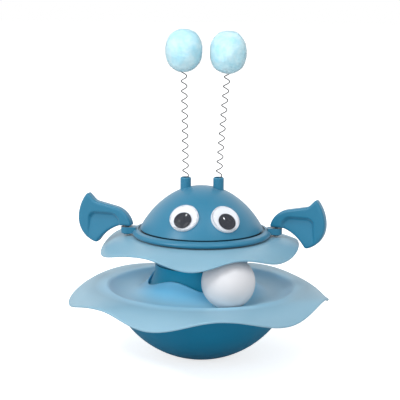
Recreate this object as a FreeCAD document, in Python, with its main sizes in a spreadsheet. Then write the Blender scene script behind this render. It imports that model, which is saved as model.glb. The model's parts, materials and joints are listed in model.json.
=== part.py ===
import FreeCAD, Part
import math
import os
import types

import Sketcher
from FreeCAD import Placement, Rotation, Vector

# Tumbler cat toy: a weighted round-bottomed bowl, a wavy tray with a ball in its track, a waisted neck,
# a wavy skirt over the track, and a crab-like head with claws, wobbling eyes and sprung pompoms.
# Origin: centre of the foot, on the floor. +Z up, -Y to the front. Azimuths run from the front towards +X.

# Driving sizes, in millimetres and degrees
SIZES = {
    # ball and the ring-shaped track that it runs in
    "ball_radius": 20.0,
    "ball_wall": 1.2,
    "ball_height": 71.3,
    "ball_azimuth": 20.4,
    "orbit_radius": 57.7,
    "track_gap": 0.3,
    # bowl
    "bowl_radius": 72.6,
    "bowl_wall": 2.4,
    "bowl_floor": 3.0,
    "foot_radius": 11.0,
    "rim_height": 51.2,
    "post_circle": 27.0,
    "post_radius": 4.0,
    # counterweight
    "weight_radius": 34.0,
    "weight_top": 15.0,
    "weight_gap": 0.2,
    "weight_chamfer": 1.5,
    "boss_circle": 16.0,
    "boss_radius": 3.5,
    "boss_clearance": 0.4,
    # tray
    "tray_wall": 2.0,
    "bend_angle": 39.5,
    "bend_radius": 2.5,
    "brim_radius": 98.6,
    "brim_height": 47.9,
    "brim_wave": 4.35,
    "brim_phase": 21.75,
    "brim_waves": 6,
    "collar_height": 61.3,
    "collar_wave": 3.4,
    "collar_phase": 32.0,
    "collar_waves": 4,
    "rib_depth": 5.2,
    "rib_width": 2.2,
    "rib_clearance": 0.35,
    # neck
    "neck_gap": 0.1,
    "neck_wall": 2.2,
    "neck_top": 73.6,
    "neck_floor": 49.2,
    "neck_skirt": 54.0,
    "neck_opening": 10.0,
    "neck_boss_radius": 3.75,
    # lower shell of the head
    "seam_height": 0.8,
    "seam_depth": 1.6,
    "pan_wall": 2.2,
    "pan_rim": 93.2,
    "pan_flange": 1.7,
    "pan_flange_radius": 50.0,
    "pan_mouth_radius": 44.0,
    "pan_boss_circle": 39.5,
    "pan_boss_radius": 3.5,
    # skirt
    "skirt_wall": 1.8,
    "skirt_hole": 44.3,
    "skirt_shoulder": 52.0,
    "skirt_radius": 74.3,
    "skirt_height": 86.2,
    "skirt_wave": 2.8,
    "skirt_phase": 7.0,
    "skirt_waves": 6,
    # ring of the head, with its lugs
    "ring_radius": 53.0,
    "ring_lip": 2.6,
    "ring_plate": 2.0,
    "ring_shoulder_radius": 48.7,
    "ring_shoulder": 100.3,
    "ring_seat": 99.2,
    "ring_hole": 42.5,
    "tab_radius": 4.0,
    "lug_circle": 57.2,
    "lug_radius": 4.5,
    "lug_bottom": 96.8,
    "lug_top": 101.5,
    # dome, with its antenna sockets
    "dome_radius": 47.0,
    "dome_edge": 101.0,
    "dome_top": 133.6,
    "dome_crown": 44.8,
    "dome_crown_angle": 34.6,
    "dome_wall": 2.2,
    "spigot_wall": 2.0,
    "spigot_clearance": 0.2,
    "socket_offset": 12.5,
    "socket_radius": 4.1,
    "socket_top": 140.4,
    "socket_bore": 3.1,
    "socket_depth": 8.0,
    "socket_fillet": 1.0,
    # stick-on eyes
    "eye_radius": 11.0,
    "left_eye_height": 115.3,
    "left_eye_azimuth": -20.5,
    "right_eye_height": 114.4,
    "right_eye_azimuth": 27.4,
    "eye_back": 1.0,
    "eye_pad": 2.2,
    "lens_radius": 10.8,
    "lens_wall": 0.8,
    "lens_side": 1.6,
    "lens_height": 4.6,
    "pupil_radius": 6.7,
    "pupil_thickness": 0.8,
    "pupil_play": 0.3,
    "pupil_offset": 2.8,
    # claws, measured from the pin outwards and from the flat end up
    "claw_gap": 0.8,
    "claw_thickness": 8.0,
    "claw_swing": -20.0,
    "claw_root_in": 4.6,
    "claw_root_out": 4.8,
    "claw_shoulder_out": 9.5,
    "claw_shoulder_up": 14.4,
    "claw_dip_out": 26.3,
    "claw_dip_up": 17.6,
    "claw_dip_round": 6.0,
    "claw_tip_out": 32.4,
    "claw_tip_up": 24.0,
    "claw_tip_round": 2.4,
    "claw_reach": 40.0,
    "claw_belly_up": 3.7,
    "claw_point_out": 24.4,
    "claw_point_down": 14.9,
    "claw_point_round": 2.4,
    "claw_hook_radius": 32.4,
    "claw_rounding": 2.0,
    "recess_depth": 2.2,
    "recess_start": 3.8,
    "recess_end": 34.2,
    "recess_top": 9.5,
    "recess_corner": 5.5,
    "recess_foot": 5.0,
    "recess_edge_round": 0.8,
    "pin_radius": 1.45,
    "pin_running_gap": 0.05,
    "pin_head_radius": 2.8,
    "pin_head": 1.0,
    "pin_length": 8.0,
    # antennas
    "wire_radius": 0.35,
    "coil_radius": 2.15,
    "coil_pitch": 7.3,
    "pompom_radius": 14.0,
    "pompom_half_height": 16.5,
    "pompom_end_radius": 11.5,
    "pompom_bore": 3.2,
    "pompom_bore_depth": 5.0,
    "left_pompom_out": 14.8,
    "left_pompom_height": 236.8,
    "right_pompom_out": 18.6,
    "right_pompom_height": 235.7,
    # screws
    "screw_radius": 1.5,
    "screw_head_radius": 3.4,
    "weight_screw_head_radius": 4.6,
    "screw_head": 2.0,
    "screw_length": 9.0,
    "screw_clearance": 0.3,
    "screw_places": 3,
    "ring_screw_places": 4,
}


# Sizes that carry their sheet expression along

class Size:
    """A number together with the sheet expression that gives it."""

    def __init__(self, number, text):
        self.number = float(number)
        self.text = text

    def __add__(self, other):
        other = as_size(other)
        return Size(self.number + other.number, f"({self.text} + {other.text})")

    def __radd__(self, other):
        return as_size(other) + self

    def __sub__(self, other):
        other = as_size(other)
        return Size(self.number - other.number, f"({self.text} - {other.text})")

    def __rsub__(self, other):
        return as_size(other) - self

    def __mul__(self, other):
        other = as_size(other)
        return Size(self.number * other.number, f"({self.text} * {other.text})")

    def __rmul__(self, other):
        return as_size(other) * self

    def __truediv__(self, other):
        other = as_size(other)
        return Size(self.number / other.number, f"({self.text} / {other.text})")

    def __neg__(self):
        return Size(-self.number, f"(0 - {self.text})")


def as_size(value):
    """A Size from a Size or a plain number."""
    return value if isinstance(value, Size) else Size(value, repr(float(value)))


def root(value):
    """Square root of a Size."""
    return Size(math.sqrt(value.number), f"sqrt({value.text})")


def sine(angle):
    """Sine of a Size in degrees."""
    return Size(math.sin(math.radians(angle.number)), f"sin({angle.text})")


def cosine(angle):
    """Cosine of a Size in degrees."""
    return Size(math.cos(math.radians(angle.number)), f"cos({angle.text})")


def leg(hypotenuse, other_leg):
    """The other leg of a right triangle."""
    return root(hypotenuse * hypotenuse - other_leg * other_leg)


def make_sheet(document):
    """The spreadsheet of driving sizes, and the same sizes as attributes."""
    sheet = document.addObject("Spreadsheet::Sheet", "Sizes")
    for row, (alias, value) in enumerate(SIZES.items(), start=1):
        sheet.set(f"A{row}", alias)
        sheet.set(f"B{row}", str(value))
        sheet.setAlias(f"B{row}", alias)
    document.recompute()
    return types.SimpleNamespace(**{a: Size(sheet.get(a), f"Sizes.{a}") for a in SIZES})


# Sketches and features

def new_body(name):
    """An empty body for one sub-part."""
    body = doc.addObject("PartDesign::Body", name)
    body.Label = name
    return body


def origin_feature(body, role):
    """One of the body's own origin planes or axes."""
    return next(f for f in body.Origin.OriginFeatures if f.Role == role)


def new_sketch(body, name, role, height=None):
    """An empty sketch on an origin plane, raised by a height if one is given."""
    sketch = body.newObject("Sketcher::SketchObject", name)
    sketch.AttachmentSupport = [(origin_feature(body, role), "")]
    sketch.MapMode = "FlatFace"
    if height is not None:
        sketch.setExpression("AttachmentOffset.Base.z", height.text)
    return sketch


def place(sketch, edge, point, x, y):
    """Bind one point of a sketch edge to its two coordinates."""
    for kind, axis, value in (("DistanceX", -2, as_size(x)), ("DistanceY", -1, as_size(y))):
        if value.number == 0:
            sketch.addConstraint(Sketcher.Constraint("PointOnObject", edge, point, axis))
        else:
            index = sketch.addConstraint(Sketcher.Constraint(kind, edge, point, value.number))
            sketch.setExpression(f"Constraints[{index}]", value.text)


def bow(radius, side):
    """An arc of a radius to the next corner, its centre to the left (1) or right (-1) of the walk."""
    return ("bow", as_size(radius), side)


def via(x, y):
    """An arc to the next corner through a point."""
    return ("via", as_size(x), as_size(y))


def arc_between(start, end, middle):
    """A sketch arc through three points, and whether it runs backwards."""
    arc = Part.ArcOfCircle(start, middle, end)
    backwards = (middle - start).cross(end - start).z < 0
    circle = Part.Circle(arc.Center, Vector(0, 0, 1), arc.Radius)
    first, last = (end, start) if backwards else (start, end)
    angles = [math.atan2(p.y - arc.Center.y, p.x - arc.Center.x) for p in (first, last)]
    if angles[1] < angles[0]:
        angles[1] += 2 * math.pi
    return Part.ArcOfCircle(circle, *angles), backwards


def bow_middle(start, end, radius, side):
    """The middle point of an arc of a radius under half a circle."""
    chord = end - start
    half = chord.Length / 2
    normal = Vector(-chord.y, chord.x, 0).normalize() * side
    return (start + end) / 2 - normal * (radius - math.sqrt(radius * radius - half * half))


def draw(sketch, corners):
    """A closed outline: each corner is (x, y) or (x, y, arc), with every size bound to the sheet."""
    corners = [(as_size(c[0]), as_size(c[1]), c[2] if len(c) > 2 else None) for c in corners]
    points = [Vector(x.number, y.number, 0) for x, y, _ in corners]
    ends = []
    for i, (_, _, arc) in enumerate(corners):
        start, end = points[i], points[(i + 1) % len(points)]
        if arc is None:
            edge = sketch.addGeometry(Part.LineSegment(start, end))
            ends.append((edge, 1, 2))
            continue
        if arc[0] == "bow":
            middle = bow_middle(start, end, arc[1].number, arc[2])
        else:
            middle = Vector(arc[1].number, arc[2].number, 0)
        geometry, backwards = arc_between(start, end, middle)
        edge = sketch.addGeometry(geometry)
        ends.append((edge, 2, 1) if backwards else (edge, 1, 2))
    for i, (edge, _, last) in enumerate(ends):
        following, first, _ = ends[(i + 1) % len(ends)]
        sketch.addConstraint(Sketcher.Constraint("Coincident", edge, last, following, first))
    for (edge, first, _), (x, y, arc) in zip(ends, corners):
        place(sketch, edge, first, x, y)
        if arc is None:
            continue
        if arc[0] == "bow":
            index = sketch.addConstraint(Sketcher.Constraint("Radius", edge, arc[1].number))
            sketch.setExpression(f"Constraints[{index}]", arc[1].text)
        else:
            spot = sketch.addGeometry(Part.Point(Vector(arc[1].number, arc[2].number, 0)), True)
            place(sketch, spot, 1, arc[1], arc[2])
            sketch.addConstraint(Sketcher.Constraint("PointOnObject", spot, 1, edge))


def outline(body, name, role, corners, height=None):
    """A sketch with one closed outline."""
    sketch = new_sketch(body, name, role, height)
    draw(sketch, corners)
    return sketch


def circle_sketch(body, name, x, y, radius, height):
    """A horizontal sketch with one circle."""
    sketch = new_sketch(body, name, "XY_Plane", height)
    spot = Vector(as_size(x).number, as_size(y).number, 0)
    edge = sketch.addGeometry(Part.Circle(spot, Vector(0, 0, 1), radius.number))
    index = sketch.addConstraint(Sketcher.Constraint("Radius", edge, radius.number))
    sketch.setExpression(f"Constraints[{index}]", radius.text)
    place(sketch, edge, 3, x, y)
    return sketch


def turn(body, kind, sketch, axis="V_Axis"):
    """A full Revolution or Groove of a sketch about one of its axes."""
    feature = body.newObject(f"PartDesign::{kind}", f"{sketch.Name}_{kind}")
    feature.Profile = sketch
    feature.ReferenceAxis = (sketch, [axis])
    feature.Angle = 360
    return feature


def raise_up(body, kind, sketch, length, reverse=False, both=False):
    """A Pad or Pocket of a sketch, bound to its length."""
    feature = body.newObject(f"PartDesign::{kind}", f"{sketch.Name}_{kind}")
    feature.Profile = sketch
    feature.setExpression("Length", length.text)
    feature.Reversed = reverse
    if both:
        feature.SideType = "Symmetric"
    return feature


def around(body, features, count):
    """Equal copies of features around the vertical axis."""
    pattern = body.newObject("PartDesign::PolarPattern", f"{features[0].Name}_around")
    pattern.Originals = features
    pattern.Axis = (origin_feature(body, "Z_Axis"), [""])
    pattern.Angle = 360
    pattern.setExpression("Occurrences", as_size(count).text)
    body.Tip = pattern
    return pattern


def round_edges(body, feature, radius, test):
    """A fillet on the edges of a feature whose middle point passes a test."""
    doc.recompute()
    names = []
    for number, edge in enumerate(feature.Shape.Edges, start=1):
        middle = edge.valueAt((edge.FirstParameter + edge.LastParameter) / 2)
        if test(edge, middle):
            names.append(f"Edge{number}")
    fillet = body.newObject("PartDesign::Fillet", f"{feature.Name}_round")
    fillet.Base = (feature, names)
    fillet.setExpression("Radius", radius.text)
    return fillet


def feature_of(name, shape, placement=None):
    """A sub-part whose shape is worked out directly."""
    feature = doc.addObject("Part::Feature", name)
    feature.Label = name
    feature.Shape = shape
    if placement:
        feature.Placement = placement
    return feature


# The circle round the ball's path, which the tray, neck and head all follow

def track_radius_in(radius, height):
    """Distance from the toy's axis to the inner side of a circle about the ball's path."""
    return dim.orbit_radius - leg(radius, height - dim.ball_height)


def track_inner():
    return dim.ball_radius + dim.track_gap


def track_outer():
    return track_inner() + dim.tray_wall


def neck_circle():
    return track_outer() + dim.neck_gap


def sphere_radius_at(radius, height):
    """Radius of the bowl's sphere of a given radius at a height."""
    return leg(radius, bowl_centre() - height)


def bowl_centre():
    return leg(dim.bowl_radius, dim.foot_radius)


# Base

def make_bowl():
    """Round-bottomed shell with a flat foot, three long posts for the neck and three bosses for the weight."""
    body = new_body("base_bowl")
    outer, inner = dim.bowl_radius, dim.bowl_radius - dim.bowl_wall
    profile = outline(body, "bowl_profile", "XZ_Plane", [
        (0, 0),
        (dim.foot_radius, 0, bow(outer, 1)),
        (sphere_radius_at(outer, dim.rim_height), dim.rim_height),
        (sphere_radius_at(inner, dim.rim_height), dim.rim_height, bow(inner, -1)),
        (sphere_radius_at(inner, dim.bowl_floor), dim.bowl_floor),
        (0, dim.bowl_floor),
    ])
    turn(body, "Revolution", profile)
    root_level = dim.bowl_floor
    posts = circle_sketch(body, "post_circle", 0, dim.post_circle, dim.post_radius, root_level)
    post = raise_up(body, "Pad", posts, dim.neck_floor - root_level)
    around(body, [post], dim.screw_places)
    bosses = circle_sketch(body, "boss_circle", 0, -dim.boss_circle, dim.boss_radius, root_level)
    boss = raise_up(body, "Pad", bosses, dim.weight_top - root_level)
    around(body, [boss], dim.screw_places)
    spill = dim.post_circle + dim.post_radius * 2
    trim = outline(body, "bowl_trim", "XZ_Plane", [
        (dim.foot_radius, 0, bow(outer, 1)),
        (spill, bowl_centre() - leg(outer, spill)),
        (spill, -dim.bowl_floor),
        (dim.foot_radius, -dim.bowl_floor),
    ])
    turn(body, "Groove", trim)
    for name, y, top in (("post_pilot", dim.post_circle, dim.neck_floor),
                         ("boss_pilot", -dim.boss_circle, dim.weight_top)):
        hole = circle_sketch(body, name, 0, y, dim.screw_radius, top)
        pilot = raise_up(body, "Pocket", hole, dim.screw_length)
        around(body, [pilot], dim.screw_places)
    return body


def make_weight():
    """Iron weight that follows the bowl's inside, with holes for the posts and bosses."""
    body = new_body("counterweight")
    shell = dim.bowl_radius - dim.bowl_wall - dim.weight_gap
    bottom = dim.bowl_floor + dim.weight_gap
    side = bowl_centre() - leg(shell, dim.weight_radius)
    profile = outline(body, "weight_profile", "XZ_Plane", [
        (0, bottom),
        (sphere_radius_at(shell, bottom), bottom, bow(shell, 1)),
        (dim.weight_radius, side),
        (dim.weight_radius, dim.weight_top - dim.weight_chamfer),
        (dim.weight_radius - dim.weight_chamfer, dim.weight_top),
        (0, dim.weight_top),
    ])
    turn(body, "Revolution", profile)
    for name, y, radius in (("post_hole", dim.post_circle, dim.post_radius + dim.boss_clearance),
                            ("boss_hole", -dim.boss_circle, dim.boss_radius + dim.boss_clearance)):
        hole = circle_sketch(body, name, 0, y, radius, dim.weight_top)
        cut = raise_up(body, "Pocket", hole, dim.weight_top)
        around(body, [cut], dim.screw_places)
    return body


def make_screws(name, circle, seat, front, places, head_radius=None):
    """Pan-head screws on a circle, their heads on a seat, the first at the front or the back."""
    body = new_body(name)
    head_radius = head_radius or dim.screw_head_radius
    core = dim.screw_radius
    top = seat + dim.screw_head
    tip = seat - dim.screw_length + 1.0
    profile = outline(body, f"{name}_profile", "YZ_Plane", [
        (circle, tip),
        (circle + core * 0.4, tip),
        (circle + core, tip + core),
        (circle + core, seat),
        (circle + head_radius, seat, bow(dim.screw_head * 1.6, 1)),
        (circle + head_radius * 0.55, top),
        (circle, top),
    ])
    axis = profile.addGeometry(Part.LineSegment(
        Vector(circle.number, tip.number, 0), Vector(circle.number, top.number, 0)), True)
    place(profile, axis, 1, circle, tip)
    place(profile, axis, 2, circle, top)
    screw = turn(body, "Revolution", profile, "Axis0")
    around(body, [screw], places)
    if front:
        body.Placement = Placement(Vector(), Rotation(Vector(0, 0, 1), 180))
    return body


# Tray and skirt: closed sections that ride on waves, lofted round the axis

STATIONS = 48


def point(radius, height, azimuth):
    """A point from its distance to the axis, its height and its azimuth in degrees."""
    turned = math.radians(azimuth)
    return Vector(radius * math.sin(turned), -radius * math.cos(turned), height)


def section(corners, azimuth):
    """A closed wire in the upright half plane at an azimuth: corners (r, z) or (r, z, mid_r, mid_z)."""
    edges = []
    for i, corner in enumerate(corners):
        start = point(corner[0], corner[1], azimuth)
        end = point(*corners[(i + 1) % len(corners)][:2], azimuth)
        if len(corner) == 2:
            edges.append(Part.LineSegment(start, end).toShape())
        else:
            edges.append(Part.Arc(start, point(corner[2], corner[3], azimuth), end).toShape())
    return Part.Wire(edges)


def loft_round(corners_at):
    """A ring-shaped solid through sections at equal azimuths."""
    wires = [section(corners_at(k * 360 / STATIONS), k * 360 / STATIONS) for k in range(STATIONS)]
    return Part.makeLoft(wires + [wires[0]], True, False, False)


def on_circle(centre, radius, angle):
    """A point of a circle in the section plane; the angle is from straight down, outwards."""
    return (centre[0] + radius * math.sin(angle), centre[1] - radius * math.cos(angle))


def brim(start, edge, wall):
    """Corners of a drooping brim: level at its start, ending at a rounded edge.

    start and edge are points of the underside. The list runs along the top, round the edge and back.
    """
    length = edge[0] - start[0]
    drop = start[1] - edge[1]
    radius = (length * length + drop * drop) / (2 * drop)
    centre = (start[0], start[1] - radius)
    sweep = math.asin(length / radius)

    def spot(distance, share):
        return (centre[0] + distance * math.sin(share * sweep), centre[1] + distance * math.cos(share * sweep))

    cap = (centre[0] + (radius + wall / 2) * math.sin(sweep) + wall / 2 * math.cos(sweep),
           centre[1] + (radius + wall / 2) * math.cos(sweep) - wall / 2 * math.sin(sweep))
    return [
        (*spot(radius + wall, 0), *spot(radius + wall, 0.5)),
        (*spot(radius + wall, 1), *cap),
        (*edge, *spot(radius, 0.5)),
    ]


def tray_section(azimuth):
    """Collar, track, bend, drooping brim, and the rib and land that sit in the bowl's rim."""
    centre = (dim.orbit_radius.number, dim.ball_height.number)
    inner, outer, wall = track_inner().number, track_outer().number, dim.tray_wall.number
    bend = math.radians(dim.bend_angle.number)
    bend_radius = dim.bend_radius.number
    wave = math.radians(dim.collar_waves.number * (azimuth + dim.collar_phase.number))
    collar = dim.collar_height.number + dim.collar_wave.number * math.cos(wave)
    tip = -math.acos((centre[1] - collar) / (inner + wall / 2))
    wave = math.radians(dim.brim_waves.number * (azimuth + dim.brim_phase.number))
    edge = (dim.brim_radius.number, dim.brim_height.number - dim.brim_wave.number * math.cos(wave))
    hinge = on_circle(centre, inner - bend_radius * -1, bend)
    level = (hinge[0], hinge[1] + bend_radius - wall)
    cap_angle = tip - wall / 2 / (inner + wall / 2)
    rim = dim.rim_height.number
    shell = (dim.bowl_radius - dim.bowl_wall).number
    land_out = sphere_radius_at(dim.bowl_radius, dim.rim_height).number
    land_in = sphere_radius_at(as_size(shell), dim.rim_height).number - dim.rib_clearance.number
    rib_bottom = rim - dim.rib_depth.number
    rib_out = sphere_radius_at(as_size(shell), as_size(rib_bottom)).number - dim.rib_clearance.number
    rib_in = rib_out - dim.rib_width.number

    def under(radius):
        return centre[1] - math.sqrt(outer * outer - (radius - centre[0]) ** 2)

    def angle_at(radius):
        return math.asin((radius - centre[0]) / outer)

    side_mid = on_circle(centre, outer, (angle_at(land_out) + bend) / 2)
    return [
        (*on_circle(centre, outer, tip), *on_circle(centre, inner + wall / 2, cap_angle)),
        (*on_circle(centre, inner, tip), *on_circle(centre, inner, (tip + bend) / 2)),
        (*on_circle(centre, inner, bend),
         hinge[0] - bend_radius * math.sin(bend / 2), hinge[1] + bend_radius * math.cos(bend / 2)),
        *brim(level, edge, wall),
        (*level, hinge[0] - (bend_radius - wall) * math.sin(bend / 2),
         hinge[1] + (bend_radius - wall) * math.cos(bend / 2)),
        (*on_circle(centre, outer, bend), *side_mid),
        (land_out, under(land_out)),
        (land_out, rim),
        (land_in, rim),
        (rib_out, rib_bottom),
        (rib_in, rib_bottom),
        (rib_in, under(rib_in), *on_circle(centre, outer, (angle_at(rib_in) + tip) / 2)),
    ]


def make_tray():
    return feature_of("ball_tray", loft_round(tray_section))


def skirt_section(azimuth):
    """Flat inner flange and a drooping wavy brim."""
    wall = dim.skirt_wall.number
    floor = dim.pan_rim.number
    wave = math.radians(dim.skirt_waves.number * (azimuth + dim.skirt_phase.number))
    edge = (dim.skirt_radius.number, dim.skirt_height.number - dim.skirt_wave.number * math.cos(wave))
    start = (dim.skirt_shoulder.number, floor)
    return [
        (dim.skirt_hole.number, floor + wall),
        *brim(start, edge, wall),
        start,
        (dim.skirt_hole.number, floor),
    ]


def make_skirt():
    return feature_of("upper_skirt", loft_round(skirt_section))


def make_ball():
    """Hollow ball, resting in the track."""
    body = new_body("track_ball")
    outer, inner = dim.ball_radius, dim.ball_radius - dim.ball_wall
    profile = outline(body, "ball_profile", "XZ_Plane", [
        (0, -outer, bow(outer, 1)),
        (outer, 0, bow(outer, 1)),
        (0, outer),
        (0, inner, bow(inner, -1)),
        (inner, 0, bow(inner, -1)),
        (0, -inner),
    ])
    turn(body, "Revolution", profile)
    body.setExpression("Placement.Base.x", (dim.orbit_radius * sine(dim.ball_azimuth)).text)
    body.setExpression("Placement.Base.y", (-(dim.orbit_radius * cosine(dim.ball_azimuth))).text)
    body.setExpression("Placement.Base.z", dim.ball_height.text)
    return body


# Neck and the lower shell of the head

def make_neck():
    """Waisted tube with a floor: it flares under the tray's collar and stands on the bowl's posts."""
    body = new_body("neck_column")
    circle = neck_circle()
    far = circle + dim.neck_wall
    foot = track_radius_in(circle, dim.neck_skirt)
    inside = foot - dim.neck_wall
    inside_top = dim.ball_height - leg(far, dim.orbit_radius - inside)
    floor_top = dim.neck_floor + dim.neck_wall
    profile = outline(body, "neck_profile", "XZ_Plane", [
        (dim.neck_opening, dim.neck_floor),
        (foot, dim.neck_floor),
        (foot, dim.neck_skirt, bow(circle, -1)),
        (track_radius_in(circle, dim.neck_top), dim.neck_top),
        (track_radius_in(far, dim.neck_top), dim.neck_top, bow(far, 1)),
        (inside, inside_top),
        (inside, floor_top),
        (dim.neck_opening, floor_top),
    ])
    turn(body, "Revolution", profile)
    posts = circle_sketch(body, "neck_boss", 0, -dim.post_circle, dim.neck_boss_radius, dim.neck_floor)
    boss = raise_up(body, "Pad", posts, dim.neck_top - dim.neck_floor)
    around(body, [boss], dim.screw_places)
    hole = circle_sketch(body, "neck_screw_hole", 0, dim.post_circle,
                         dim.screw_radius + dim.screw_clearance, floor_top)
    cut = raise_up(body, "Pocket", hole, dim.neck_wall)
    around(body, [cut], dim.screw_places)
    pilot = circle_sketch(body, "neck_pilot", 0, -dim.post_circle, dim.screw_radius, dim.neck_top)
    cut = raise_up(body, "Pocket", pilot, dim.screw_length)
    around(body, [cut], dim.screw_places)
    return body


def make_pan():
    """Lower shell of the head: it stands on the neck and carries the skirt and the ring."""
    body = new_body("head_pan")
    circle = neck_circle()
    far = circle + dim.pan_wall
    wall_bottom = dim.neck_top + dim.seam_height
    floor_top = dim.neck_top + dim.pan_wall
    flange_bottom = dim.pan_rim - dim.pan_flange
    waist = track_radius_in(circle, wall_bottom)
    profile = outline(body, "pan_profile", "XZ_Plane", [
        (0, dim.neck_top),
        (waist - dim.seam_depth, dim.neck_top),
        (waist - dim.seam_depth, wall_bottom),
        (waist, wall_bottom, bow(circle, -1)),
        (track_radius_in(circle, flange_bottom), flange_bottom),
        (dim.pan_flange_radius, flange_bottom),
        (dim.pan_flange_radius, dim.pan_rim),
        (dim.pan_mouth_radius, dim.pan_rim),
        (dim.pan_mouth_radius, dim.ball_height + leg(far, dim.orbit_radius - dim.pan_mouth_radius), bow(far, 1)),
        (track_radius_in(far, floor_top), floor_top),
        (0, floor_top),
    ])
    turn(body, "Revolution", profile)
    ring_bottom = dim.pan_rim + dim.skirt_wall
    boss_root = dim.ball_height + leg(circle, dim.orbit_radius - dim.pan_boss_circle + dim.pan_boss_radius)
    across = dim.pan_boss_circle * math.sqrt(0.5)
    bosses = circle_sketch(body, "pan_boss", across, across, dim.pan_boss_radius, boss_root)
    boss = raise_up(body, "Pad", bosses, ring_bottom - boss_root)
    around(body, [boss], dim.ring_screw_places)
    trim = new_sketch(body, "pan_trim", "XZ_Plane")
    edge = trim.addGeometry(Part.Circle(
        Vector(dim.orbit_radius.number, dim.ball_height.number, 0), Vector(0, 0, 1), circle.number))
    index = trim.addConstraint(Sketcher.Constraint("Radius", edge, circle.number))
    trim.setExpression(f"Constraints[{index}]", circle.text)
    place(trim, edge, 3, dim.orbit_radius, dim.ball_height)
    turn(body, "Groove", trim)
    pilot = circle_sketch(body, "pan_pilot", across, across, dim.screw_radius, ring_bottom)
    cut = raise_up(body, "Pocket", pilot, dim.screw_length - dim.ring_plate)
    around(body, [cut], dim.ring_screw_places)
    hole = circle_sketch(body, "pan_screw_hole", 0, -dim.post_circle,
                         dim.screw_radius + dim.screw_clearance, floor_top)
    cut = raise_up(body, "Pocket", hole, dim.pan_wall)
    around(body, [cut], dim.screw_places)
    return body


# Ring and dome of the head

def make_ring():
    """Lipped ring with a seat for the dome, four screw tabs inside and a lug on each side."""
    body = new_body("head_ring")
    bottom = dim.pan_rim + dim.skirt_wall
    plate_top = bottom + dim.ring_plate
    lip = dim.ring_lip
    seat_radius = dim.dome_radius - dim.spigot_wall + dim.spigot_clearance
    profile = outline(body, "ring_profile", "XZ_Plane", [
        (dim.ring_hole, bottom),
        (dim.ring_radius - lip, bottom, bow(lip, 1)),
        (dim.ring_radius, bottom + lip, bow(lip * 1.6, 1)),
        (dim.ring_radius - lip * 0.6, dim.ring_shoulder - lip * 0.3),
        (dim.ring_shoulder_radius, dim.ring_shoulder),
        (dim.ring_shoulder_radius, dim.ring_seat),
        (seat_radius, dim.ring_seat),
        (seat_radius, plate_top),
        (dim.ring_hole, plate_top),
    ])
    turn(body, "Revolution", profile)
    lug = dim.lug_radius
    base = dim.ring_radius - lip
    tongue = outline(body, "lug_outline", "XY_Plane", [
        (base, -lug),
        (dim.lug_circle, -lug, via(dim.lug_circle + lug, 0)),
        (dim.lug_circle, lug),
        (base, lug),
    ], dim.lug_bottom)
    pad = raise_up(body, "Pad", tongue, dim.lug_top - dim.lug_bottom)
    around(body, [pad], 2)
    hole = circle_sketch(body, "lug_hole", dim.lug_circle, 0, dim.pin_radius + dim.pin_running_gap, dim.lug_top)
    cut = raise_up(body, "Pocket", hole, dim.lug_top - dim.lug_bottom)
    around(body, [cut], 2)
    across = dim.pan_boss_circle * math.sqrt(0.5)
    tabs = circle_sketch(body, "ring_tab", across, across, dim.tab_radius, bottom)
    tab = raise_up(body, "Pad", tabs, dim.ring_plate)
    around(body, [tab], dim.ring_screw_places)
    hole = circle_sketch(body, "tab_hole", across, across, dim.screw_radius + dim.screw_clearance, plate_top)
    cut = raise_up(body, "Pocket", hole, dim.ring_plate)
    around(body, [cut], dim.ring_screw_places)
    return body


def crown_end():
    """The point where the dome's crown meets its side."""
    across = dim.dome_crown * sine(dim.dome_crown_angle)
    up = dim.dome_top - dim.dome_crown + dim.dome_crown * cosine(dim.dome_crown_angle)
    return across, up


def dome_side():
    """Radius of the arc that runs on from the crown to the dome's edge."""
    across, up = crown_end()
    out = dim.dome_radius - across
    down = up - dim.dome_edge
    return (out * out + down * down) / (2 * (down * cosine(dim.dome_crown_angle) - out * sine(dim.dome_crown_angle)))


def dome_point(height):
    """Distance to the axis, and the slope from the vertical, of the dome's side at a height."""
    across, up = crown_end()
    angle = math.radians(dim.dome_crown_angle.number)
    side = dome_side().number
    centre = (across.number - side * math.sin(angle), up.number - side * math.cos(angle))
    rise = height - centre[1]
    return centre[0] + math.sqrt(side * side - rise * rise), math.asin(rise / side)


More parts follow.
